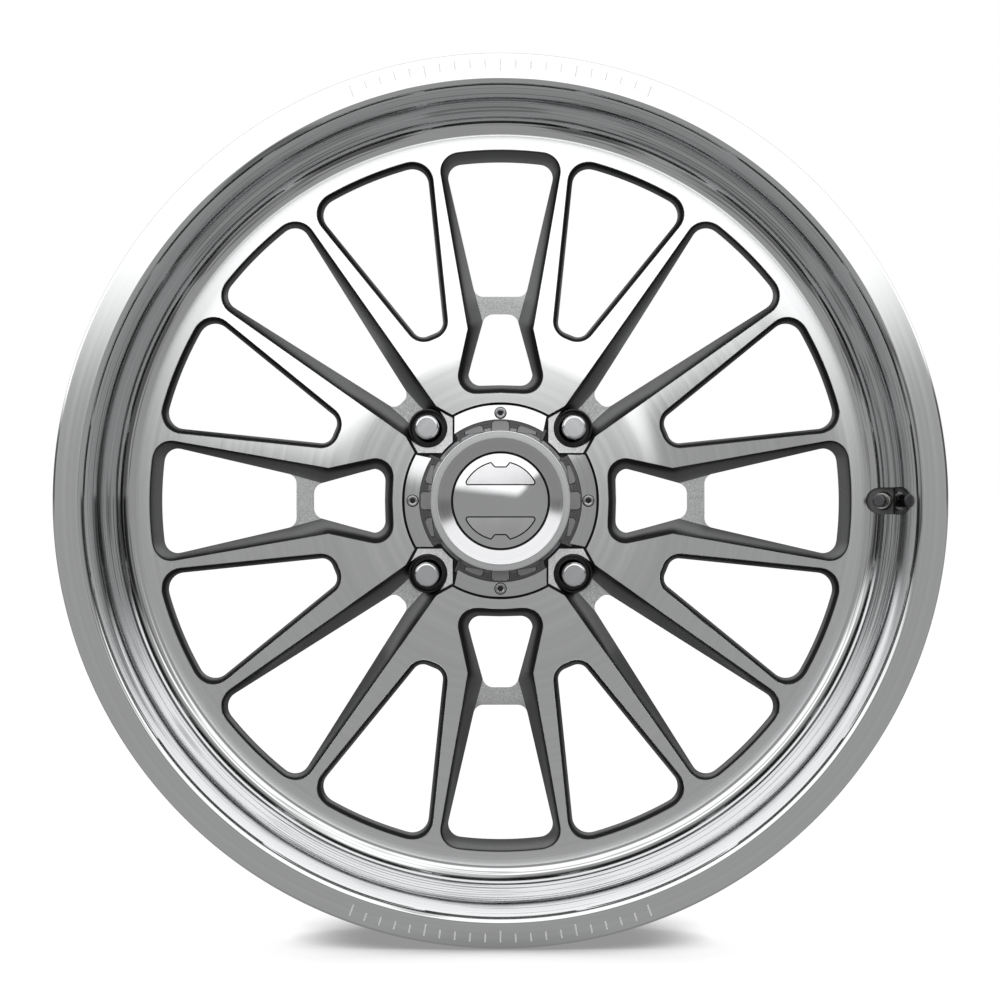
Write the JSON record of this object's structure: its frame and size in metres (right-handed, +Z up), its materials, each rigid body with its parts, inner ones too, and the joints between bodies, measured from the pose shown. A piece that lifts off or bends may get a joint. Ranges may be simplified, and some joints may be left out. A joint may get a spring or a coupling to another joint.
{
  "type": "forged racing wheel rim",
  "caption": "Deep-dish forged off-road racing wheel: polished barrel, machined split-spoke centre, bolt-on hub cap, lug nuts and low valve.",
  "frame": {"origin": "centre of the hub face, on the axle", "axes": "+Y along the axle, out of the hub face towards the vehicle; the front lip faces -Y; +Z up; +X towards the valve"},
  "size_m": [0.6449, 0.203, 0.645],
  "materials": {
    "polished_aluminium": "polished, mirror-like",
    "machined_aluminium": "machined and clear coated, blasted in the recesses",
    "weld": "rippled weld, brushed off",
    "dark_steel": "black oxide",
    "nut_steel": "bright plated",
    "spring_steel": "satin",
    "nickel": "nickel plated brass, satin",
    "brass": "turned",
    "black_rubber": "moulded, matt",
    "dark_anodised": "dark anodised, knurled"
  },
  "bodies": {
    "wheel": {"rim_barrel": "polished_aluminium", "spoked_centre": "machined_aluminium", "weld_bead": "weld", "lug_seats": "dark_steel", "cap_base": "polished_aluminium", "cap_housing": "machined_aluminium", "cap_emblem": "polished_aluminium", "cap_o_ring": "black_rubber", "cap_snap_ring": "spring_steel", "cap_screws": "dark_steel", "valve_stem": "nickel", "valve_grommet": "black_rubber", "valve_washer": "nickel", "valve_nut": "nickel", "valve_core_body": "brass", "valve_core_spring": "spring_steel"},
    "nut_1": {"lug_nut_1": "nut_steel"},
    "nut_2": {"lug_nut_2": "nut_steel"},
    "nut_3": {"lug_nut_3": "nut_steel"},
    "nut_4": {"lug_nut_4": "nut_steel"},
    "core_pin": {"valve_core_pin": "brass", "valve_core_seal": "black_rubber"},
    "cap_of_valve": {"valve_cap": "dark_anodised", "valve_cap_seal": "black_rubber"}
  },
  "joints": [
    {"name": "lug_nut_1_off", "type": "slide", "parent": "wheel", "child": "nut_1", "axis": [0, -1, 0], "range_m": [0, 0.035]},
    {"name": "lug_nut_2_off", "type": "slide", "parent": "wheel", "child": "nut_2", "axis": [0, -1, 0], "range_m": [0, 0.035]},
    {"name": "lug_nut_3_off", "type": "slide", "parent": "wheel", "child": "nut_3", "axis": [0, -1, 0], "range_m": [0, 0.035]},
    {"name": "lug_nut_4_off", "type": "slide", "parent": "wheel", "child": "nut_4", "axis": [0, -1, 0], "range_m": [0, 0.035]},
    {"name": "valve_core_press", "type": "slide", "parent": "wheel", "child": "core_pin", "axis": [0.4226, 0.9063, 0], "range_m": [0, 0.0012], "stiffness_N_per_m": 1500, "springref_m": -0.002},
    {"name": "valve_cap_off", "type": "slide", "parent": "wheel", "child": "cap_of_valve", "axis": [-0.4226, -0.9063, 0], "range_m": [0, 0.012]}
  ]
}
